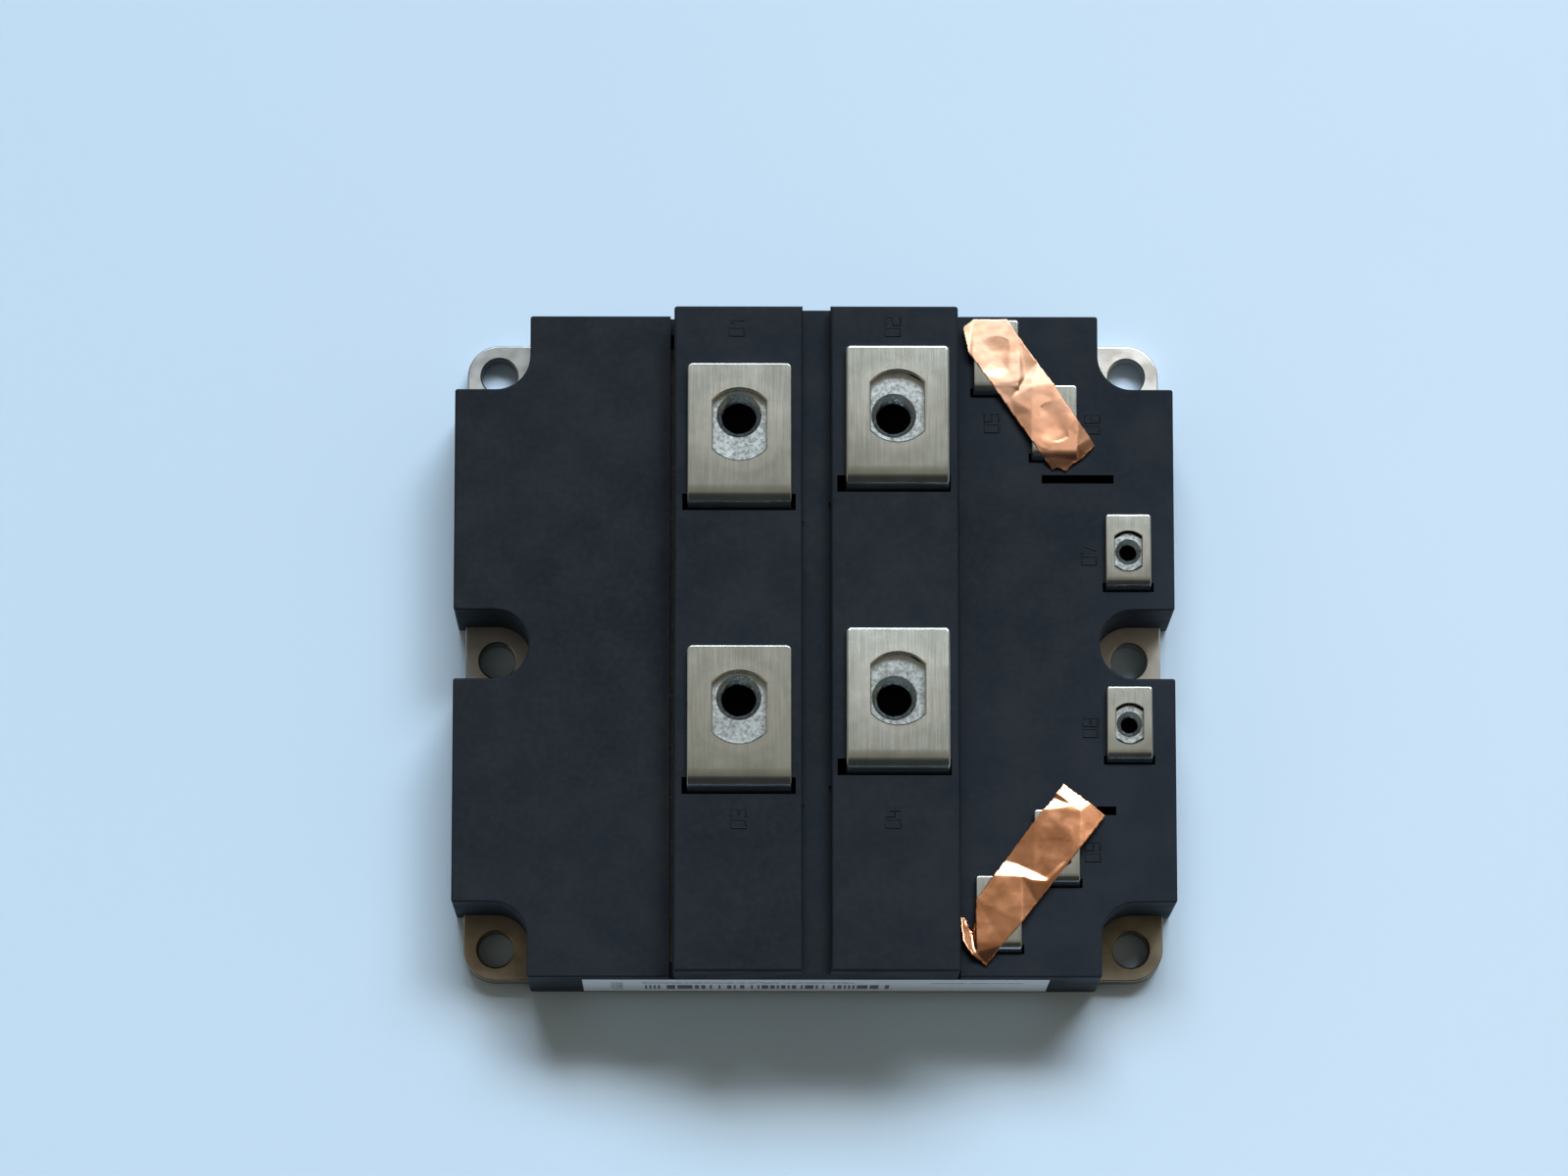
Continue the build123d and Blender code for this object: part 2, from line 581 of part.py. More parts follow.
SUBSTRATES = [(side, shift) for shift in ROWS for side in (-1, 1)]


def circuit_tracks(side, shift_y, flip):
    """Collector, emitter and gate tracks on one substrate; flip turns the pattern end for end."""
    half_u = COPPER_LENGTH / 2
    half_v = COPPER_DEPTH / 2
    run_v = half_v - EMITTER_RUN
    collector = [
        (-half_u, half_u - GATE_PAD - TRACK_GAP, STRIP_TOP + TRACK_GAP, half_v),
        (-half_u, -half_u + COLLECTOR_RUN, -run_v + TRACK_GAP, STRIP_TOP + TRACK_GAP),
        (-half_u, half_u - COLLECTOR_RUN - TRACK_GAP, -run_v + TRACK_GAP, -STRIP_LOW),
    ]
    emitter = [
        (-half_u + COLLECTOR_RUN + TRACK_GAP, half_u, STRIP_LOW, STRIP_TOP),
        (half_u - COLLECTOR_RUN, half_u, -half_v, STRIP_TOP),
        (-half_u, half_u, -half_v, -run_v),
    ]
    pads = [(half_u - GATE_PAD, half_u, v - GATE_PAD / 2, v + GATE_PAD / 2) for v in gate_pad_rows()]
    x, y = substrate_centre(side, shift_y)
    tracks = []
    for group in (collector, emitter, pads[:1], pads[1:]):
        shape = None
        for u_low, u_high, v_low, v_high in group:
            x_pair = sorted((x + side * u_low, x + side * u_high))
            y_pair = sorted((y + flip * v_low, y + flip * v_high))
            piece = block(*x_pair, *y_pair, CERAMIC_TOP, CIRCUIT_TOP)
            shape = piece if shape is None else shape + piece
        tracks.append(shape)
    return tracks


def gate_pad_rows():
    """Distance of the two gate pads from the substrate's middle line."""
    return STRIP_TOP + TRACK_GAP + GATE_PAD / 2, COPPER_DEPTH / 2 - GATE_PAD / 2


def chip_places(side, shift_y, flip):
    """Kind and middle of each chip, and the place on a track that its bond wires reach."""
    x, y = substrate_centre(side, shift_y)
    run_top = EMITTER_RUN - COPPER_DEPTH / 2
    igbt_u = CHIP_FROM_END + (IGBT_LENGTH - COPPER_LENGTH) / 2
    diode_u = igbt_u + CHIP_GAP + (IGBT_LENGTH + DIODE_LENGTH) / 2
    upper_v = STRIP_TOP + TRACK_GAP + CHIP_MARGIN + IGBT_DEPTH / 2
    lower_v = run_top + TRACK_GAP + CHIP_MARGIN + IGBT_DEPTH / 2
    upper_land = STRIP_TOP - WIRE_LANDING
    lower_land = run_top - 2 * WIRE_LANDING
    places = []
    for v, land in ((upper_v, upper_land), (lower_v, lower_land)):
        for kind, u in (("igbt", igbt_u), ("diode", diode_u)):
            places.append((kind, x + side * u, y + flip * v, y + flip * land))
    return places


def make_chip(kind, x, y):
    plan = Rectangle(IGBT_LENGTH, IGBT_DEPTH) if kind == "igbt" else Rectangle(DIODE_LENGTH, DIODE_DEPTH)
    return Pos(x, y, CIRCUIT_TOP) * extrude(plan, CHIP_THICK)


def make_wire(x, y_chip, y_land):
    """One bond wire, an arch from the top of a chip down to the track beside it."""
    way = 1 if y_land > y_chip else -1
    middle = (y_chip + y_land) / 2
    crown = CHIP_TOP + WIRE_RISE
    inner_chip = y_chip + way * WIRE_FOOT
    inner_land = y_land - way * WIRE_FOOT
    outline = ThreePointArc((y_chip, CHIP_TOP), (middle, crown), (y_land, CIRCUIT_TOP))
    outline += Line((y_land, CIRCUIT_TOP), (inner_land, CIRCUIT_TOP))
    outline += ThreePointArc((inner_land, CIRCUIT_TOP), (middle, crown - WIRE_THICK), (inner_chip, CHIP_TOP))
    outline += Line((inner_chip, CHIP_TOP), (y_chip, CHIP_TOP))
    arch = extrude(Plane.YZ * make_face(outline), WIRE_THICK)
    return Pos(x - WIRE_THICK / 2, 0, 0) * arch


def make_bond_wires(side, shift_y, flip):
    wires = []
    rows = {"igbt": (IGBT_WIRE_COUNT, IGBT_LENGTH), "diode": (DIODE_WIRE_COUNT, DIODE_LENGTH)}
    for kind, x, y, land in chip_places(side, shift_y, flip):
        count, length = rows[kind]
        pitch = length / (count + 1)
        for index in range(count):
            wires.append(make_wire(x - length / 2 + (index + 1) * pitch, y, land))
    return wires


# Gate board with its pins and resistors

def pin_places():
    places = []
    for side, shift in SUBSTRATES:
        x, y = substrate_centre(side, shift)
        flip = 1 if shift == 0.0 else -1
        u = COPPER_LENGTH / 2 - GATE_PAD / 2
        places += [(x + side * u, y + flip * v) for v in gate_pad_rows()]
    return places


def make_gate_pins():
    return [column(PIN_R, x, y, CIRCUIT_TOP, BOARD_TOP + PIN_ABOVE_BOARD) for x, y in pin_places()]


def make_gate_board():
    """A U-shaped board: its right side takes the control terminals, its two arms reach the left pins."""
    left = min(x for x, _ in pin_places()) - BOARD_EDGE
    inner_x = RIGHT_COLUMN_X + RIGHT_TAB_SHIFT + TAB_WIDTH / 2 + BOARD_TO_TERMINAL
    inner_y = min(abs(y) for _, y in pin_places()) - BOARD_EDGE
    plan = case_plan(WALL + BOARD_CLEAR)
    plan &= Pos(left + CASE_LENGTH / 2, 0) * Rectangle(CASE_LENGTH, CASE_DEPTH)
    plan -= Pos(inner_x - CASE_LENGTH / 2, 0) * Rectangle(CASE_LENGTH, 2 * inner_y)
    board = raise_plan(plan, BOARD_FOOT, BOARD_TOP)
    for name in CONTROL_SPOTS:
        board -= tail_end(name, TAIL_JOG_Z)
    for pin in make_gate_pins():
        board -= pin
    return board


def make_gate_resistors():
    length, depth, height = RESISTOR_SIZE
    inward = [(x - RESISTOR_FROM_PIN if x > 0 else x + RESISTOR_FROM_PIN, y) for x, y in pin_places()]
    places = inward[1::2]
    return [block(x - length / 2, x + length / 2, y - depth / 2, y + depth / 2, BOARD_TOP, BOARD_TOP + height)
            for x, y in places]


# Build every piece

nodes = {
    "base_plate": make_base_plate(),
    "case_frame": make_case_frame(),
    "case_seal": seal_ring(),
    "terminal_block": make_terminal_block(),
    "front_label": make_label(),
    "m8_nuts": make_m8_nuts(),
    "m4_nuts": make_m4_nuts(),
    "foil_strip_upper": make_foil(UPPER_FOIL_OUTLINE),
    "foil_strip_lower": make_foil(LOWER_FOIL_OUTLINE),
}
for (left, shift), name in zip(POWER_PLACES, ("c2", "e2", "e1", "c1")):
    nodes["power_terminal_" + name] = make_power_terminal(left, shift)
for name in CONTROL_SPOTS:
    nodes["control_terminal_" + name] = make_control_terminal(name)

chip_count = {"igbt": 0, "diode": 0}
for number, (side, shift) in enumerate(SUBSTRATES, start=1):
    flip = 1 if shift == 0.0 else -1
    whole = (SUBSTRATE_LENGTH, SUBSTRATE_DEPTH)
    coppered = (COPPER_LENGTH, COPPER_DEPTH)
    nodes[f"substrate_solder_{number}"] = layer(*coppered, side, shift, PLATE_THICK, SOLDER_TOP)
    nodes[f"back_copper_{number}"] = layer(*coppered, side, shift, SOLDER_TOP, BACK_COPPER_TOP)
    nodes[f"ceramic_{number}"] = layer(*whole, side, shift, BACK_COPPER_TOP, CERAMIC_TOP)
    nodes[f"circuit_copper_{number}"] = circuit_tracks(side, shift, flip)
    for kind, x, y, _ in chip_places(side, shift, flip):
        chip_count[kind] += 1
        nodes[f"{kind}_chip_{chip_count[kind]}"] = make_chip(kind, x, y)
    nodes[f"bond_wires_{number}"] = make_bond_wires(side, shift, flip)

nodes["gate_board"] = make_gate_board()
nodes["gate_pins"] = make_gate_pins()
nodes["gate_resistors"] = make_gate_resistors()


def solids_of(shape):
    """The solids of one node, which is one shape or a list of them."""
    shapes = shape if isinstance(shape, list) else [shape]
    return [solid for item in shapes for solid in item.solids()]


# The gel fills the case around everything that stands in it
CLEAR_OF_GEL = ("base_plate", "case_frame", "case_seal", "terminal_block", "front_label", "m8_nuts",
                "m4_nuts", "foil_strip_upper", "foil_strip_lower")
gel_space = raise_plan(case_plan(WALL), PLATE_THICK, GEL_TOP)
embedded = [solid for name, shape in nodes.items() if name not in CLEAR_OF_GEL for solid in solids_of(shape)]
nodes["silicone_gel"] = gel_space - embedded

for name, shape in nodes.items():
    export_step(Compound(children=solids_of(shape)), f"parts/{name}.step")
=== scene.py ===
import json
import math

import bmesh
import bpy
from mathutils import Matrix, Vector, noise
from mathutils.bvhtree import BVHTree
from mathutils.geometry import delaunay_2d_cdt


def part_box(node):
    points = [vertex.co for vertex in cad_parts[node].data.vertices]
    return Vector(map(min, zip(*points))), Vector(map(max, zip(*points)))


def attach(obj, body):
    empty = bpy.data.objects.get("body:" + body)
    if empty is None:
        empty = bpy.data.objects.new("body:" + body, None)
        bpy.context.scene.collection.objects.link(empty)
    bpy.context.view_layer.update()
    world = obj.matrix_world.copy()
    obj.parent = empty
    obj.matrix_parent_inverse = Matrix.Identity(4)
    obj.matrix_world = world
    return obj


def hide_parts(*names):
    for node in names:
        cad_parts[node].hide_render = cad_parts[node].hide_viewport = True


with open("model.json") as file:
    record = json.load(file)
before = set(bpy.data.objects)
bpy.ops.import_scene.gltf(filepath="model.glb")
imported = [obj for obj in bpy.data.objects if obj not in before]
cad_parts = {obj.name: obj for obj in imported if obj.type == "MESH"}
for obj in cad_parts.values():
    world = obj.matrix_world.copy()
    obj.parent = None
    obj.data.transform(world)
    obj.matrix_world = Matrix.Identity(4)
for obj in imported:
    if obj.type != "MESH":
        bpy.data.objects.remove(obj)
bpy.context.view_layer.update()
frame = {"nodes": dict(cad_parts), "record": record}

# The scene is in metres. Sizes are written in millimetres and multiplied by MM where they are used.
MM = 0.001

# Camera: where it stands and how it is turned, about Z first, then Y, then X
CAMERA_PLACE = (-14.6, -213.9, 1355.8)
CAMERA_TURN = (0.16757, -0.00649, 0.00115)
CAMERA_LENS = 159.71
CAMERA_SENSOR = 36.0

# Light: a wide window high behind the object, as two rows of suns, and a dim warm room
KEY_AZIMUTHS = (-14.0, -1.5, 11.0, 23.5, 36.0)
KEY_ROWS = {
    "upper": {"elevation": 57.5, "spread": 11.0, "strength": 0.35, "colour": (0.93, 0.935, 0.95)},
    "lower": {"elevation": 48.0, "spread": 14.0, "strength": 0.325, "colour": (0.80, 0.935, 1.07)},
}
ROOM_ZENITH = (0.275, 0.24, 0.185)
ROOM_BACK = (0.40, 0.43, 0.46)
ROOM_FRONT = (0.46, 0.32, 0.14)
ROOM_FRONT_TO_BACK = (-0.8, 0.8)
ROOM_SIDES_TO_ZENITH = (0.05, 0.45)
DARK_SPOT = (0.0, -0.87, 0.49)
DARK_SPOT_EDGE = (0.60, 0.90)
DARK_COLOUR = (0.045, 0.045, 0.045)

# Floor, a little below the base plate; its tone runs from left to right over the middle part, painted lighter
# towards the right as painted light
FLOOR_HALF = 6000.0
FLOOR_DROP = 0.02
FLOOR_LEFT = (0.54, 0.715, 0.88)
FLOOR_RIGHT = (0.61, 0.77, 0.925)
FLOOR_CLOUD = (0.50, 0.62, 0.74)
FLOOR_TONE_HALF = 180.0

# Terminals. A punched tab's top isn't quite flat: it is crowned along Y to a radius, leans back or forth by
# a few tenths of a degree, and starts to roll over shortly before its bend line, which lies a length, here
# called flat, from the tip. Round the hole, out to the rim, the nickel is rubbed lighter.
TAB = {"crown": 560.0, "flat": 25.4, "roll": 1.7, "roll_radius": 10.0, "rim": 8.6}
TAB_LEAN = {"c2": -0.2, "e2": 0.1, "e1": -0.9, "c1": 1.7}
TAB_HALF_WIDTH = 10.0
TAB_HOLE_FROM_TIP = 12.0
CONTROL_TAB = {"crown": 210.0, "flat": 12.9, "roll": 0.6, "roll_radius": 5.0, "rim": 4.4}
CONTROL_LEAN = {"e2": -0.6, "g2": -0.3, "c2": 0.1, "c1": 0.0, "g1": 0.0, "e1": 0.0}
CONTROL_TOP = 28.0
CONTROL_HOLE_FROM_TIP = 7.35
CONTROL_HOLE_HALF = 2.6
CONTROL_HOLE_R = 3.95
CONTROL_BEND_R = 2.0
RUBBED_FADE = 1.6
RUBBED_WANDER = 1.2
WING_TOP = 26.2

# Nuts
M8 = {"flats": 17.0, "minor": 3.4, "major": 4.0, "pitch": 1.25, "rim": 4.35, "corner": 0.7}
M4 = {"flats": 7.0, "minor": 1.65, "major": 2.0, "pitch": 0.7, "rim": 2.5, "corner": 0.4}
NUT_STEPS = 72
STEPS_PER_PITCH = 8

# Copper foils: the last entry gives the Y where the painted shade, a darker brown over the foil's end, starts
# and where it is full
FOIL_GRID = 0.26
FOIL_SHEET = 0.06
FOIL_SMOOTHING = 2
FOIL_LIFT = 0.08
FOIL_EDGE_WOBBLE = 0.09
FOIL_EDGE_WAVE = 1 / 1.1
FOIL_DENT_REACH = 1.12
FOIL_RIPPLE_SHARE = 0.3
FOIL_RIPPLE_RATE = 2.7
ABOVE_ALL = 60.0
UPPER_COPPER = {
    "dark": (0.76, 0.44, 0.29), "light": (0.83, 0.52, 0.37), "roughness": (0.38, 0.45),
    "shaded_end": (55.0, 42.0),
}
LOWER_COPPER = {
    "dark": (0.72, 0.335, 0.175), "light": (0.78, 0.385, 0.215), "roughness": (0.20, 0.26),
    "shaded_end": (-60.0, -90.0),
}
BROWN_SHARE = (0.62, 0.55, 0.50)

# Label: its blocks of marks as limits in X and Z, and the width of one bar
BAR_WIDTH = 0.42
BAR_BLOCK = (-33.2, 15.4, 6.0, 12.5)
TEXT_BLOCKS = ((-39.3, -37.0, 5.5, 17.5), (22.6, 40.5, 14.6, 16.4), (-33.2, 8.0, 15.0, 17.4))


def mm(*values):
    return Vector(values) * MM


def camera():
    """The photograph's view."""
    data = bpy.data.cameras.new("camera")
    data.sensor_fit = "HORIZONTAL"
    data.sensor_width = CAMERA_SENSOR
    data.lens = CAMERA_LENS
    data.clip_start = 0.05
    data.clip_end = 50.0
    obj = bpy.data.objects.new("camera", data)
    obj.rotation_mode = "ZYX"
    obj.rotation_euler = CAMERA_TURN
    obj.location = mm(*CAMERA_PLACE)
    bpy.context.scene.collection.objects.link(obj)
    bpy.context.scene.camera = obj


# Materials

class Finish:
    """A material with one Principled shader, and short ways to add nodes to it."""

    def __init__(self, name, **sockets):
        self.material = bpy.data.materials.new(name)
        self.material.use_nodes = True
        self.tree = self.material.node_tree
        self.shader = self.tree.nodes["Principled BSDF"]
        self.place = self.node("ShaderNodeTexCoord").outputs["Object"]
        for key, value in sockets.items():
            self.set(key.replace("_", " ").title().replace("Ior", "IOR"), value)

    def node(self, kind, inputs=(), **settings):
        made = self.tree.nodes.new(kind)
        for key, value in settings.items():
            setattr(made, key, value)
        for key, value in dict(inputs).items():
            self.feed(made.inputs[key], value)
        return made

    def feed(self, socket, value):
        if isinstance(value, bpy.types.NodeSocket):
            self.tree.links.new(value, socket)
        elif socket.type == "RGBA" and len(value) == 3:
            socket.default_value = (*value, 1.0)
        else:
            socket.default_value = value

    def set(self, socket, value):
        self.feed(self.shader.inputs[socket], value)

    def grain(self, size, detail=2.0, stretch=(1.0, 1.0, 1.0), offset=(0.0, 0.0, 0.0)):
        """Noise from 0 to 1 whose blots are about size millimetres, drawn out by stretch."""
        scale = [1.0 / (size * MM * s) for s in stretch]
        mapped = self.node("ShaderNodeMapping", {"Vector": self.place, "Scale": scale, "Location": offset})
        made = self.node("ShaderNodeTexNoise", {"Vector": mapped.outputs[0], "Scale": 1.0, "Detail": detail})
        return made.outputs["Fac"]

    def remap(self, value, low, high, to_low=0.0, to_high=1.0):
        """Smoothly from to_low at low to to_high at high."""
        limits = {"Value": value, "From Min": low, "From Max": high, "To Min": to_low, "To Max": to_high}
        return self.node("ShaderNodeMapRange", limits, interpolation_type="SMOOTHSTEP").outputs[0]

    def math(self, operation, a, b=0.0):
        made = self.node("ShaderNodeMath", operation=operation)
        self.feed(made.inputs[0], a)
        self.feed(made.inputs[1], b)
        return made.outputs[0]

    def mix(self, factor, first, second):
        made = self.node("ShaderNodeMix", data_type="RGBA")
        self.feed(made.inputs[0], factor)
        self.feed(made.inputs[6], first)
        self.feed(made.inputs[7], second)
        return made.outputs[2]

    def distance(self, point):
        """Distance in metres from an upright line through the point."""
        foot = (*point[:2], 0.0)
        offset = self.node("ShaderNodeVectorMath", {0: self.place, 1: foot}, operation="SUBTRACT")
        level = {0: offset.outputs[0], 1: (1.0, 1.0, 0.0)}
        flat = self.node("ShaderNodeVectorMath", level, operation="MULTIPLY")
        return self.node("ShaderNodeVectorMath", {0: flat.outputs[0]}, operation="LENGTH").outputs["Value"]

    def axis(self, name):
        return self.node("ShaderNodeSeparateXYZ", {0: self.place}).outputs[name]

    def bump(self, height, strength, depth):
        """Bumps of a depth in millimetres, on top of those that are there."""
        before = self.shader.inputs["Normal"].links
        made = self.node("ShaderNodeBump", {"Height": height, "Strength": strength, "Distance": depth * MM})
        if before:
            self.feed(made.inputs["Normal"], before[0].from_socket)
        self.set("Normal", made.outputs[0])


def simple(name, dark, light, roughness=(0.4, 0.6), **sockets):
    """Two close colours in soft blots, uneven gloss and a fine surface grain."""
    made = Finish(name, **sockets)
    made.set("Base Color", made.mix(made.remap(made.grain(6.0, 4.0), 0.3, 0.7), dark, light))
    made.set("Roughness", made.remap(made.grain(2.0, 3.0), 0.3, 0.7, *roughness))
    made.bump(made.grain(0.35, 3.0), 0.5, 0.01)
    return made.material


def case_plastic():
    """Matt moulded plastic, blue-black, a little uneven and dusty, and painted lighter towards the right as
    painted light.
    """
    made = Finish("case_plastic", specular_ior_level=0.16)
    broad = made.remap(made.grain(38.0, 3.0), 0.35, 0.65)
    fine = made.remap(made.grain(1.3, 4.0), 0.3, 0.75)
    # Painted light: the right side of the case is painted lighter than the left, blended across X.
    left = made.mix(broad, (0.0048, 0.0092, 0.0150), (0.0080, 0.0130, 0.0200))
    right = made.mix(broad, (0.0070, 0.0120, 0.0195), (0.0110, 0.0165, 0.0255))
    base = made.mix(made.remap(made.axis("X"), 10.0 * MM, 60.0 * MM), left, right)
    base = made.mix(made.math("MULTIPLY", fine, 0.3), base, (0.017, 0.023, 0.030))
    dust = made.remap(made.grain(1.1, 2.0, offset=(7.0, 3.0, 1.0)), 0.80, 0.83, 0.0, 0.25)
    base = made.mix(dust, base, (0.22, 0.23, 0.22))
    made.set("Base Color", base)
    made.set("Roughness", made.remap(made.grain(9.0, 4.0), 0.3, 0.7, 0.60, 0.74))
    made.bump(made.grain(0.22, 3.0), 0.6, 0.02)
    made.bump(made.grain(14.0, 2.0), 0.3, 0.15)
    return made.material


def nickel(name, tab=None, hole=None, bend=0.0, lean=0.0):
    """Satin nickel with a grain along Y, slightly tarnished; a tab is given with its hole and bend line."""
    made = Finish(name, metallic=1.0)
    streaks = made.grain(0.22, 3.0, stretch=(1.0, 40.0, 40.0))
    clouds = made.remap(made.grain(6.0, 4.0), 0.3, 0.72)
    base = made.mix(clouds, (0.42, 0.46, 0.435), (0.535, 0.58, 0.56))
    base = made.mix(made.remap(streaks, 0.3, 0.8, 0.0, 0.12), base, (0.36, 0.38, 0.35))
    if tab:
        reach = made.math("ADD", made.distance(hole), made.math("MULTIPLY", clouds, RUBBED_WANDER * MM))
        rubbed = made.remap(reach, tab["rim"] * MM, (tab["rim"] + RUBBED_FADE) * MM, 0.35, 0.0)
        base = made.mix(rubbed, base, (0.68, 0.70, 0.66))
        made.bump(tab_shape(made, tab, hole, bend, lean), 1.0, 1.0 / MM)
    made.set("Base Color", base)
    made.set("Roughness", made.remap(streaks, 0.25, 0.75, 0.22, 0.26))
    made.bump(streaks, 0.05, 0.006)
    made.bump(made.grain(5.0, 2.0), 0.6, 0.05)
    return made.material


def tab_shape(made, tab, hole, bend, lean):
    """How far a tab's top drops below a plane: a crown along Y, and a roll that starts before the bend."""
    y = made.axis("Y")
    along = made.math("SUBTRACT", y, hole.y - tab["crown"] * MM * math.radians(lean))
    crown = made.math("MULTIPLY", made.math("MULTIPLY", along, along), -0.5 / (tab["crown"] * MM))
    rolled = made.math("MAXIMUM", made.math("SUBTRACT", bend + tab["roll"] * MM, y), 0.0)
    roll = made.math("MULTIPLY", made.math("MULTIPLY", rolled, rolled), -0.5 / (tab["roll_radius"] * MM))
    return made.math("ADD", crown, roll)


def base_nickel():
    """The base plate's nickel: broader, duller clouds and a few brown spots; painted lighter towards the
    right as a painted highlight, and darker over the front ears as painted shadow of the case.
    """
    made = Finish("nickel_base", metallic=1.0)
    clouds = made.remap(made.grain(5.0, 4.0), 0.3, 0.7)
    # Painted highlight: the right half of the plate is painted lighter than the left, where it catches the
    # light from the back right.
    left = made.mix(clouds, (0.26, 0.28, 0.29), (0.33, 0.35, 0.36))
    right = made.mix(clouds, (0.50, 0.50, 0.47), (0.60, 0.60, 0.58))
    base = made.mix(made.remap(made.axis("X"), -60.0 * MM, 60.0 * MM), left, right)
    # Painted shadow: the front ears, in the shadow of the case, are painted darker and browner.
    front = made.mix(clouds, (0.22, 0.20, 0.155), (0.29, 0.265, 0.21))
    base = made.mix(made.remap(made.axis("Y"), -50.0 * MM, -30.0 * MM, 1.0, 0.0), base, front)
    spots = made.remap(made.grain(1.2, 3.0, offset=(2.0, 5.0, 0.0)), 0.66, 0.74, 0.0, 0.5)
    made.set("Base Color", made.mix(spots, base, (0.34, 0.28, 0.18)))
    made.set("Roughness", made.remap(made.grain(3.0, 3.0), 0.3, 0.7, 0.30, 0.40))
    made.bump(made.grain(0.4, 3.0), 0.4, 0.02)
    return made.material


def zinc():
    """Bluish zinc with a crystalline grain."""
    made = Finish("zinc_nut", metallic=1.0)
    grain = made.remap(made.grain(1.6, 5.0), 0.3, 0.7)
    made.set("Base Color", made.mix(grain, (0.37, 0.43, 0.455), (0.48, 0.545, 0.57)))
    made.set("Roughness", made.remap(made.grain(0.6, 3.0), 0.3, 0.7, 0.24, 0.36))
    made.bump(made.grain(1.6, 2.0), 0.3, 0.03)
    return made.material


def copper_foil(name, dark, light, roughness, shaded_end):
    """Bright soft copper, finely creased, with brown streaks, and painted shade that darkens its end to
    brown.
    """
    made = Finish(name, metallic=1.0)
    clouds = made.remap(made.grain(6.0, 2.0), 0.3, 0.7)
    streaks = made.remap(made.grain(2.2, 2.0, stretch=(2.6, 1.0, 1.0)), 0.52, 0.68, 0.0, 0.45)
    base = made.mix(clouds, dark, light)
    browner = [channel * share for channel, share in zip(dark, BROWN_SHARE)]
    # Painted shade: the foil's end is painted darker brown between the two Y given, joined with the random
    # streaks.
    start, full = shaded_end
    spread = made.remap(made.math("MULTIPLY", made.axis("Y"), -1.0), -start * MM, -full * MM)
    base = made.mix(made.math("MAXIMUM", spread, streaks), base, browner)
    made.set("Base Color", base)
    made.set("Roughness", made.remap(made.grain(3.0, 2.0), 0.3, 0.7, *roughness))
    made.bump(made.grain(1.6, 2.0), 0.3, 0.010)
    return made.material


def label_paper():
    """White paper with a row of plain dark bars and a few grey blocks."""
    made = Finish("label", roughness=0.55)
    x = made.axis("X")
    z = made.axis("Z")

    def between(value, low, high):
        over = made.math("GREATER_THAN", value, low * MM)
        return made.math("MULTIPLY", over, made.math("LESS_THAN", value, high * MM))

    def field(x_low, x_high, z_low, z_high):
        return made.math("MULTIPLY", between(x, x_low, x_high), between(z, z_low, z_high))

    steps = made.math("FLOOR", made.math("MULTIPLY", x, 1.0 / (BAR_WIDTH * MM)))
    chance = made.node("ShaderNodeTexWhiteNoise", {"W": steps}, noise_dimensions="1D").outputs["Value"]
    bars = made.math("MULTIPLY", made.math("LESS_THAN", chance, 0.52), field(*BAR_BLOCK))
    speckle = made.remap(made.grain(0.8, 2.0, stretch=(1.4, 1.0, 1.0)), 0.44, 0.5)
    side, right, left = (field(*block) for block in TEXT_BLOCKS)
    rows = made.math("ADD", made.math("ADD", side, right), left)
    marks = made.math("MULTIPLY", speckle, rows)
    paper = made.mix(made.grain(3.0, 3.0), (0.72, 0.76, 0.79), (0.80, 0.83, 0.85))
    printed = made.mix(made.math("MULTIPLY", marks, 0.55), paper, (0.10, 0.10, 0.11))
    made.set("Base Color", made.mix(made.math("MULTIPLY", bars, 0.9), printed, (0.03, 0.03, 0.035)))
    made.bump(made.grain(0.3, 3.0), 0.3, 0.01)
    return made.material


def floor_paper():
    """A pale blue-white table, painted a little lighter towards the right as painted light."""
    made = Finish("floor_paper", roughness=0.75, specular_ior_level=0.1)
    # Painted light: the floor is painted lighter towards the right.
    across = made.remap(made.axis("X"), -FLOOR_TONE_HALF * MM, FLOOR_TONE_HALF * MM)
    plain = made.mix(across, FLOOR_LEFT, FLOOR_RIGHT)
    clouds = made.remap(made.grain(120.0, 3.0), 0.3, 0.7, 0.0, 0.06)
    made.set("Base Color", made.mix(clouds, plain, FLOOR_CLOUD))
    return made.material


PLAIN = {
    "seal_rubber": simple("seal_rubber", (0.05, 0.05, 0.055), (0.09, 0.09, 0.10)),
    "solder": simple("solder", (0.42, 0.42, 0.43), (0.62, 0.62, 0.62), metallic=1.0),
    "bare_copper": simple("bare_copper", (0.62, 0.30, 0.18), (0.78, 0.44, 0.29), metallic=1.0),
    "ceramic": simple("ceramic", (0.78, 0.77, 0.73), (0.86, 0.85, 0.82), roughness=(0.3, 0.45)),
    "silicon": simple("silicon", (0.20, 0.21, 0.25), (0.30, 0.31, 0.35), roughness=(0.15, 0.3), metallic=0.6),
    "bond_wire": simple("bond_wire", (0.66, 0.66, 0.67), (0.80, 0.80, 0.80), metallic=1.0),
    "board": simple("board", (0.03, 0.18, 0.08), (0.05, 0.26, 0.12), roughness=(0.3, 0.45)),
    "pin_metal": simple("pin_metal", (0.62, 0.50, 0.25), (0.78, 0.66, 0.38), metallic=1.0),
    "resistor": simple("resistor", (0.03, 0.03, 0.035), (0.06, 0.06, 0.065)),
    "gel": simple(
        "gel", (0.74, 0.79, 0.81), (0.80, 0.84, 0.85), roughness=(0.05, 0.15), transmission_weight=0.9),
}


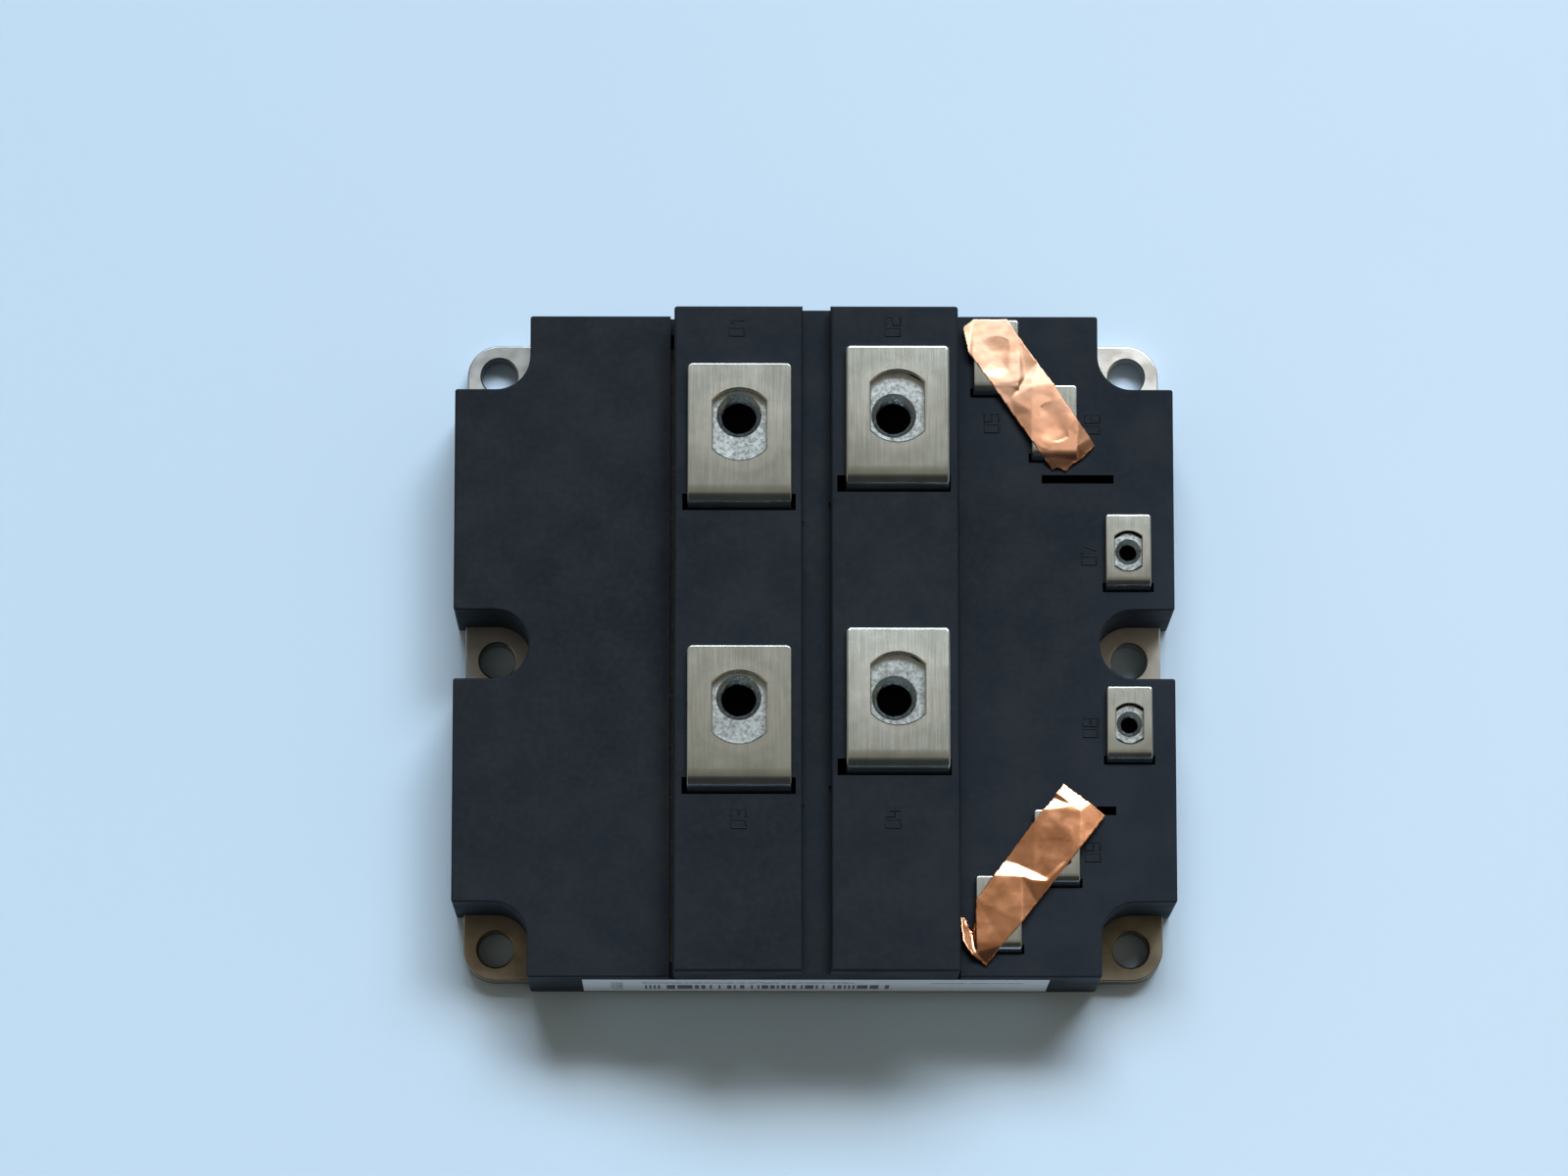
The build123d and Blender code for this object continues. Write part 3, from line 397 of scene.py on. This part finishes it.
def dress_nodes():
    """Every CAD node gets the finish of its slot; a terminal's finish knows where its hole and bend are."""
    finishes = dict(PLAIN)
    finishes["case_plastic"] = case_plastic()
    finishes["nickel_base"] = base_nickel()
    finishes["nickel_terminal"] = nickel("nickel_terminal")
    finishes["zinc_nut"] = zinc()
    finishes["copper_foil"] = copper_foil("copper_foil", **UPPER_COPPER)
    finishes["copper_foil_dark"] = copper_foil("copper_foil_dark", **LOWER_COPPER)
    finishes["label"] = label_paper()
    slots = {part["node"]: part["material_slot"] for part in frame["record"]["subparts"]}
    for name, obj in frame["nodes"].items():
        material = finishes[slots[name]]
        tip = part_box(name)[1].y
        mark = name[-2:]
        if name.startswith("power_terminal"):
            material = nickel("nickel_" + name, TAB, tab_hole(name), tip - TAB["flat"] * MM, TAB_LEAN[mark])
        elif name.startswith("control_terminal"):
            bend = tip - CONTROL_TAB["flat"] * MM
            material = nickel("nickel_" + name, CONTROL_TAB, control_hole(name), bend, CONTROL_LEAN[mark])
        for slot in obj.material_slots:
            slot.material = material
    return finishes


def tab_hole(name):
    """The middle of the hole in one power terminal's tab."""
    low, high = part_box(name)
    left = name.endswith(("c2", "e1"))
    x = low.x + TAB_HALF_WIDTH * MM if left else high.x - TAB_HALF_WIDTH * MM
    return Vector((x, high.y - TAB_HOLE_FROM_TIP * MM, high.z))


def control_hole(name):
    """The middle of the hole in one control terminal's tab."""
    low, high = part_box(name)
    return Vector(((low.x + high.x) / 2, high.y - CONTROL_HOLE_FROM_TIP * MM, high.z))


# Pieces

def add_piece(name, bm, material, smooth_angle):
    """A mesh object from a bmesh, riding on the object's one body."""
    bmesh.ops.recalc_face_normals(bm, faces=bm.faces)
    mesh = bpy.data.meshes.new(name)
    bm.to_mesh(mesh)
    bm.free()
    mesh.materials.append(material)
    mesh.shade_smooth()
    mesh.set_sharp_from_angle(angle=math.radians(smooth_angle))
    obj = bpy.data.objects.new(name, mesh)
    bpy.context.scene.collection.objects.link(obj)
    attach(obj, "root")
    return obj


def hexagon_reach(flats, angle):
    """From the middle of a hexagon, corners along Y, to its side in one direction."""
    turned = (angle + math.pi / 6) % (math.pi / 3) - math.pi / 6
    return flats / 2 / math.cos(turned)


def thread_reach(size, angle, z):
    """Radius of a screw thread's wall at one height and direction."""
    phase = (z / size["pitch"] - angle / (2 * math.pi)) % 1.0
    slope = abs(2 * phase - 1) * 1.3 - 0.15
    return size["minor"] + (size["major"] - size["minor"]) * min(1.0, max(0.0, slope))


def add_nut(bm, size, x, y, z_low, z_high):
    """A chamfered hexagon nut with a screw thread, as rings of points from its foot outside to inside."""
    corner_reach = size["flats"] / math.sqrt(3)
    flat_reach = corner_reach - size["corner"]
    height = z_high - z_low
    count = round(height / size["pitch"] * STEPS_PER_PITCH)
    inner = [index / count * height for index in range(count + 1)]

    def ring(reach_and_height):
        points = []
        for step in range(NUT_STEPS):
            angle = 2 * math.pi * step / NUT_STEPS
            reach, z = reach_and_height(angle)
            place = mm(x + reach * math.cos(angle), y + reach * math.sin(angle), z_low + z)
            points.append(bm.verts.new(place))
        return points

    def bore(z):
        rim = size["rim"] - min(z, height - z)
        return lambda angle: (max(rim, thread_reach(size, angle, z)), z)

    def flat_end(z):
        return lambda angle: (min(flat_reach, hexagon_reach(size["flats"], angle)), z)

    def side(z, way):
        def at(angle):
            reach = hexagon_reach(size["flats"], angle)
            return reach, z + way * max(0.0, reach - flat_reach)
        return at

    rings = [ring(bore(z)) for z in inner]
    rings.append(ring(flat_end(height)))
    rings.append(ring(side(height, -1)))
    rings.append(ring(side(0.0, 1)))
    rings.append(ring(flat_end(0.0)))
    for first, second in zip(rings, rings[1:] + rings[:1]):
        for step in range(NUT_STEPS):
            after = (step + 1) % NUT_STEPS
            bm.faces.new((first[step], first[after], second[after], second[step]))


def add_nuts(name, node, size, places, material):
    low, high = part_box(node)
    bm = bmesh.new()
    for place in places:
        add_nut(bm, size, place.x / MM, place.y / MM, low.z / MM, high.z / MM)
    bmesh.ops.remove_doubles(bm, verts=bm.verts, dist=0.001 * MM)
    obj = add_piece(name, bm, material, 28.0)
    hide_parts(node)


def nut_places():
    """Axes of the large and the small nuts: the mounts' places, and the holes of the control terminals."""
    threads = [mount for mount in frame["record"]["mounts"] if mount["name"].startswith("m8_thread")]
    large = [Vector(mount["pos_m"]) for mount in threads]
    small = [control_hole("control_terminal_" + name) for name in CONTROL_LEAN]
    return large, small


# Copper foils. Each one is a set of named points in millimetres, an outline and creases between them.

UPPER_POINTS = {
    "tip": (28.9, 62.2, 28.0), "fold": (31.1, 63.9, 28.1), "top": (37.7, 63.9, 28.1),
    "e2_side": (39.9, 60.4, 28.1), "dip_edge": (43.6, 55.2, 27.85), "g2_top": (46.7, 51.0, 28.1),
    "g2_side": (51.2, 44.0, 28.1), "flap": (53.9, 40.3, 27.3), "flap_tip": (54.6, 39.0, 26.8),
    "torn_1": (52.9, 37.3, 26.9), "torn_2": (51.9, 36.3, 26.7), "torn_3": (50.1, 35.3, 26.8),
    "torn_4": (49.0, 33.9, 26.5), "torn_5": (47.3, 34.7, 26.8), "foot": (46.3, 34.2, 26.5),
    "g2_foot": (43.2, 38.4, 28.0), "g2_left": (42.3, 39.8, 28.1), "gap_edge": (38.9, 44.7, 27.5),
    "e2_foot": (34.6, 51.0, 28.1), "e2_left": (31.0, 55.9, 28.1), "low_tip": (30.0, 57.2, 28.45),
    "e2_corner": (39.9, 51.5, 28.1), "valley_a": (41.2, 52.6, 27.68), "valley_b": (38.2, 48.2, 27.72),
    "g2_corner": (42.4, 50.6, 28.15), "g2_mid": (42.3, 45.5, 28.1), "g2_low": (51.1, 38.6, 28.1),
    "g2_low_left": (44.6, 38.0, 28.1), "dome": (47.8, 37.6, 28.0),
}
UPPER_OUTLINE = (
    "tip fold top e2_side dip_edge g2_top g2_side flap flap_tip torn_1 torn_2 torn_3 torn_4 torn_5 foot "
    "g2_foot g2_left gap_edge e2_foot e2_left low_tip"
)
UPPER_CREASES = (
    "fold-e2_left e2_side-e2_corner e2_corner-e2_foot valley_a-dip_edge valley_a-valley_b valley_b-gap_edge "
    "g2_corner-g2_top g2_corner-g2_mid g2_mid-g2_left g2_side-g2_low g2_low-dome dome-g2_low_left "
    "g2_low_left-g2_foot"
)
LOWER_POINTS = {
    "tip": (48.1, -27.3, 27.0), "back_right": (53.2, -31.2, 27.7), "right_tip": (56.1, -33.6, 27.35),
    "g1_side": (51.15, -40.0, 28.5), "g1_foot": (45.4, -47.2, 28.0), "hollow_edge": (42.7, -50.6, 27.6),
    "e1_side": (39.9, -54.3, 28.5), "e1_foot": (35.8, -59.0, 28.0), "point": (33.0, -62.6, 26.5),
    "curl_foot": (30.2, -60.6, 28.2), "curl_low": (28.5, -58.1, 28.1), "curl_top": (28.1, -53.3, 27.2),
    "curl_in": (28.9, -53.4, 26.9), "notch": (30.4, -56.4, 26.9), "curl_crease": (31.1, -60.3, 27.7),
    "e1_left": (31.0, -50.1, 28.05),
    "e1_top_left": (34.4, -45.2, 28.1), "dip_edge": (36.6, -42.4, 27.4), "g1_left": (42.3, -34.7, 28.1),
    "g1_top_left": (44.1, -32.4, 28.1), "cut_edge": (46.5, -29.25, 27.8),
    "g1_corner": (51.15, -32.6, 28.1), "cut_end": (49.7, -31.6, 28.0), "cut_below": (46.2, -30.1, 27.45),
    "e1_corner": (39.9, -45.5, 28.2), "crest": (41.7, -46.3, 28.5), "crest_end": (44.9, -46.5, 28.3),
    "dip_a": (39.2, -43.1, 27.5), "dip_b": (42.3, -44.6, 28.08), "dip_c": (44.4, -45.6, 28.12),
    "g1_low_left": (42.3, -42.9, 28.1), "e1_low": (30.95, -58.3, 28.12), "e1_low_right": (36.4, -58.3, 28.12),
}
LOWER_OUTLINE = (
    "tip back_right right_tip g1_side g1_foot hollow_edge e1_side e1_foot point curl_foot curl_low curl_top "
    "curl_in notch e1_left e1_top_left dip_edge g1_left g1_top_left cut_below cut_edge"
)
LOWER_CREASES = (
    "g1_top_left-g1_corner g1_corner-back_right g1_corner-g1_side cut_edge-cut_end cut_below-cut_end "
    "e1_top_left-e1_corner e1_corner-crest crest-crest_end dip_edge-dip_a dip_a-dip_b dip_b-dip_c "
    "g1_left-g1_low_left e1_corner-e1_side e1_corner-hollow_edge notch-e1_low e1_low-e1_low_right "
    "e1_low_right-e1_foot curl_in-curl_crease e1_left-e1_low"
)
UPPER_FOIL = {
    "points": UPPER_POINTS, "outline": UPPER_OUTLINE, "creases": UPPER_CREASES,
    "dents": {"e2": 0.20, "g2": 0.14}, "waves": (0.08, 4.2), "seed": 3,
}
LOWER_FOIL = {
    "points": LOWER_POINTS, "outline": LOWER_OUTLINE, "creases": LOWER_CREASES,
    "dents": {"g1": 0.12, "e1": 0.04}, "waves": (0.035, 5.0), "seed": 8,
}


def crease_surface(foil):
    """The foil folded along its creases, as flat triangles to look heights up on."""
    names = list(foil["points"])
    rank = {name: index for index, name in enumerate(names)}
    flat = [Vector(foil["points"][name][:2]) for name in names]
    loop = foil["outline"].split()
    edges = [(rank[a], rank[b]) for a, b in zip(loop, loop[1:] + loop[:1])]
    edges += [tuple(rank[name] for name in crease.split("-")) for crease in foil["creases"].split()]
    made = delaunay_2d_cdt(flat, edges, [[rank[name] for name in loop]], 1, 1e-5)
    corners = []
    for place, origins in zip(made[0], made[3]):
        heights = [foil["points"][names[index]][2] for index in origins]
        height = sum(heights) / len(heights) if heights else CONTROL_TOP
        corners.append(Vector((*place, height)))
    return BVHTree.FromPolygons(corners, made[2])


def outline_points(foil):
    """The outline in short steps, a little uneven, as torn and cut foil is."""
    loop = [Vector(foil["points"][name][:2]) for name in foil["outline"].split()]
    points = []
    for start, end in zip(loop, loop[1:] + loop[:1]):
        count = max(1, round((end - start).length / FOIL_GRID))
        across = Vector((start.y - end.y, end.x - start.x)).normalized()
        for step in range(count):
            place = start.lerp(end, step / count)
            wobble = noise.noise(Vector((*place, foil["seed"])) / FOIL_EDGE_WAVE) * FOIL_EDGE_WOBBLE
            points.append(place + across * wobble)
    return points


def inside(loop, place):
    """Whether a place is inside a closed outline."""
    crossings = 0
    for a, b in zip(loop, loop[1:] + loop[:1]):
        if (a.y > place.y) != (b.y > place.y):
            crossings += a.x + (place.y - a.y) * (b.x - a.x) / (b.y - a.y) > place.x
    return crossings % 2 == 1


def control_tab(name):
    """Limits of one control terminal's tab and the middle of its hole, in millimetres."""
    node = "control_terminal_" + name
    low, high = (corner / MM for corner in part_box(node))
    return low, high, control_hole(node).xy / MM


def hole_share(place, hole):
    """0 in the middle of a control terminal's hole, 1 at its rim."""
    away = place - hole
    return max(abs(away.x) / CONTROL_HOLE_HALF, away.length / CONTROL_HOLE_R)


def height_below(place, tabs):
    """Top of what a foil lies on: the wing, or a control terminal with its bend, but not its hole."""
    top = WING_TOP
    for low, high, hole in tabs.values():
        if low.x < place.x < high.x and low.y < place.y < high.y and hole_share(place, hole) > 1.0:
            bend = max(0.0, CONTROL_BEND_R - (place.y - low.y))
            top = max(top, high.z - CONTROL_BEND_R + math.sqrt(CONTROL_BEND_R ** 2 - bend ** 2))
    return top


def foil_height(foil, surface, tabs, place):
    """Height of the folded foil at a place, with its dents into the holes and its soft waves."""
    hit = surface.ray_cast(Vector((*place, ABOVE_ALL)), Vector((0, 0, -1)))[0]
    if hit is None:
        hit = surface.find_nearest(Vector((*place, CONTROL_TOP)))[0]
    z = hit.z
    for name, depth in foil["dents"].items():
        share = hole_share(place, tabs[name][2]) / FOIL_DENT_REACH
        if share < 1.0:
            z -= depth * (1 - share ** 3) ** 2
    height, length = foil["waves"]
    probe = Vector((*place, foil["seed"])) / length
    ripple = FOIL_RIPPLE_SHARE * noise.noise(probe * FOIL_RIPPLE_RATE)
    z += height * (noise.noise(probe) + ripple)
    return z


def foil_places(rim):
    """The rim's points, and a grid of points inside it."""
    low_x, high_x = min(p.x for p in rim), max(p.x for p in rim)
    low_y, high_y = min(p.y for p in rim), max(p.y for p in rim)
    places = list(rim)
    row_step = FOIL_GRID * math.sqrt(3) / 2
    for row in range(int((high_y - low_y) / row_step) + 1):
        for column in range(int((high_x - low_x) / FOIL_GRID) + 1):
            place = Vector((low_x + (column + row % 2 / 2) * FOIL_GRID, low_y + row * row_step))
            if inside(rim, place) and min((place - p).length_squared for p in rim) > (FOIL_GRID / 2) ** 2:
                places.append(place)
    return places


def smooth_heights(verts):
    """Every point moves halfway to the mean height of its neighbours."""
    heights = [sum(e.other_vert(v).co.z for e in v.link_edges) / len(v.link_edges) for v in verts]
    for vert, height in zip(verts, heights):
        vert.co.z = (vert.co.z + height) / 2


def add_foil(name, node, foil, material):
    """A creased foil laid over the terminals, in place of the plain strip."""
    rim = outline_points(foil)
    made = delaunay_2d_cdt(foil_places(rim), [], [list(range(len(rim)))], 1, 1e-5)
    surface = crease_surface(foil)
    tabs = {tab: control_tab(tab) for tab in foil["dents"]}
    bm = bmesh.new()
    verts = [bm.verts.new(mm(*place, foil_height(foil, surface, tabs, place))) for place in made[0]]
    for face in made[2]:
        bm.faces.new([verts[index] for index in face])
    for _ in range(FOIL_SMOOTHING):
        smooth_heights(verts)
    for vert, place in zip(verts, made[0]):
        vert.co.z = max(vert.co.z, (height_below(place, tabs) + FOIL_LIFT) * MM)
    obj = add_piece(name, bm, material, 60.0)
    sheet = obj.modifiers.new("sheet", "SOLIDIFY")
    sheet.thickness = FOIL_SHEET * MM
    sheet.offset = -1.0
    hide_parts(node)


# Number marks moulded into the case: each digit is a few strokes in a box of 2 by 3
STROKES = {
    "0": [[(0, 0), (0, 3), (2, 3), (2, 0), (0, 0)]],
    "1": [[(0.3, 2.3), (1.1, 3), (1.1, 0)]],
    "2": [[(0, 3), (2, 3), (2, 1.6), (0, 1.4), (0, 0), (2, 0)]],
    "3": [[(0, 3), (2, 3), (2, 0), (0, 0)], [(0.5, 1.5), (2, 1.5)]],
    "4": [[(0, 3), (0, 1.2), (2, 1.2)], [(1.5, 2.2), (1.5, 0)]],
    "5": [[(2, 3), (0, 3), (0, 1.6), (2, 1.6), (2, 0), (0, 0)]],
    "6": [[(2, 3), (0, 3), (0, 0), (2, 0), (2, 1.6), (0, 1.6)]],
    "7": [[(0, 3), (2, 3), (0.8, 0)]],
    "8": [[(0, 0), (0, 3), (2, 3), (2, 0), (0, 0)], [(0, 1.5), (2, 1.5)]],
    "9": [[(2, 1.4), (0, 1.4), (0, 3), (2, 3), (2, 0), (0, 0)]],
}
MARK_PLACES = [
    (-15.0, 60.7, "ridge"), (15.2, 60.7, "ridge"), (-14.6, -35.4, "ridge"), (15.0, -35.3, "ridge"),
    (34.6, 43.6, "wing"), (54.2, 43.4, "wing"), (53.4, 17.5, "wing"), (53.4, -16.3, "wing"),
    (53.7, -40.5, "wing"),
]
MARK_HEIGHT = 2.8
MARK_NARROWNESS = 0.85
MARK_MIDDLE = 2.3
MARK_PITCH = 2.7
MARK_STROKE = 0.26
MARK_RISE = 0.16


def add_marks(material):
    """Raised two-digit numbers beside the terminals, read from the right."""
    tops = {"ridge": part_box("terminal_block")[1].z / MM, "wing": WING_TOP}
    data = bpy.data.curves.new("number_marks", "CURVE")
    data.dimensions = "3D"
    data.bevel_depth = MARK_STROKE * MM
    data.bevel_resolution = 2
    data.use_fill_caps = True
    unit = MARK_HEIGHT / 3
    for number, (x, y, where) in enumerate(MARK_PLACES, start=1):
        z = tops[where] + MARK_RISE - MARK_STROKE
        for index, digit in enumerate(f"{number:02d}"):
            for stroke in STROKES[digit]:
                spline = data.splines.new("POLY")
                spline.points.add(len(stroke) - 1)
                for point, (across, up) in zip(spline.points, stroke):
                    along = (across - MARK_MIDDLE + index * MARK_PITCH) * unit * MARK_NARROWNESS
                    point.co = (*mm(x + MARK_HEIGHT / 2 - up * unit, y + along, z), 1.0)
    obj = bpy.data.objects.new("number_marks", data)
    bpy.context.scene.collection.objects.link(obj)
    data.materials.append(material)
    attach(obj, "root")


# Surroundings

def add_floor():
    bm = bmesh.new()
    bmesh.ops.create_grid(bm, x_segments=8, y_segments=8, size=FLOOR_HALF * MM)
    mesh = bpy.data.meshes.new("floor")
    bm.to_mesh(mesh)
    bm.free()
    mesh.materials.append(floor_paper())
    floor = bpy.data.objects.new("floor", mesh)
    floor.location.z = -FLOOR_DROP * MM
    bpy.context.scene.collection.objects.link(floor)


def add_window():
    """The wide window: rows of suns with soft edges."""
    for row, facts in KEY_ROWS.items():
        for number, azimuth in enumerate(KEY_AZIMUTHS, start=1):
            data = bpy.data.lights.new(f"window_{row}_{number}", "SUN")
            data.energy = facts["strength"]
            data.color = facts["colour"]
            data.angle = math.radians(facts["spread"])
            obj = bpy.data.objects.new(data.name, data)
            a = math.radians(azimuth)
            e = math.radians(facts["elevation"])
            towards = Vector((math.sin(a) * math.cos(e), math.cos(a) * math.cos(e), math.sin(e)))
            obj.rotation_mode = "QUATERNION"
            obj.rotation_quaternion = towards.to_track_quat("Z", "Y")
            bpy.context.scene.collection.objects.link(obj)


def add_room():
    """A dim warm room: lighter behind the object, and darkest in front, where the viewer stands."""
    world = bpy.data.worlds.new("room")
    world.use_nodes = True
    bpy.context.scene.world = world
    tree = world.node_tree
    shade = tree.nodes["Background"]
    place = tree.nodes.new("ShaderNodeTexCoord").outputs["Generated"]
    split = tree.nodes.new("ShaderNodeSeparateXYZ")
    tree.links.new(place, split.inputs[0])

    def ranged(source, limits):
        node = tree.nodes.new("ShaderNodeMapRange")
        node.interpolation_type = "SMOOTHSTEP"
        node.inputs["From Min"].default_value, node.inputs["From Max"].default_value = limits
        tree.links.new(source, node.inputs["Value"])
        return node.outputs[0]

    def mixed(factor, first, second):
        node = tree.nodes.new("ShaderNodeMix")
        node.data_type = "RGBA"
        tree.links.new(factor, node.inputs[0])
        for socket, value in ((node.inputs[6], first), (node.inputs[7], second)):
            if isinstance(value, tuple):
                socket.default_value = (*value, 1.0)
            else:
                tree.links.new(value, socket)
        return node.outputs[2]

    around = mixed(ranged(split.outputs["Y"], ROOM_FRONT_TO_BACK), ROOM_FRONT, ROOM_BACK)
    colour = mixed(ranged(split.outputs["Z"], ROOM_SIDES_TO_ZENITH), around, ROOM_ZENITH)
    nearness = tree.nodes.new("ShaderNodeVectorMath")
    nearness.operation = "DOT_PRODUCT"
    tree.links.new(place, nearness.inputs[0])
    nearness.inputs[1].default_value = DARK_SPOT
    colour = mixed(ranged(nearness.outputs["Value"], DARK_SPOT_EDGE), colour, DARK_COLOUR)
    tree.links.new(colour, shade.inputs["Color"])
    shade.inputs["Strength"].default_value = 1.0


camera()
add_room()
add_window()
add_floor()
finishes = dress_nodes()
large_nuts, small_nuts = nut_places()
add_nuts("threaded_m8_nuts", "m8_nuts", M8, large_nuts, finishes["zinc_nut"])
add_nuts("threaded_m4_nuts", "m4_nuts", M4, small_nuts, finishes["zinc_nut"])
add_foil("foil_upper", "foil_strip_upper", UPPER_FOIL, finishes["copper_foil"])
add_foil("foil_lower", "foil_strip_lower", LOWER_FOIL, finishes["copper_foil_dark"])
# Painted shade: the raised marks get a plastic painted darker than the case, standing in for the shade along
# their strokes.
add_marks(simple("mark_plastic_painted_shade", (0.004, 0.006, 0.009), (0.006, 0.009, 0.013), specular_ior_level=0.16))

bpy.context.scene.view_settings.view_transform = "Standard"
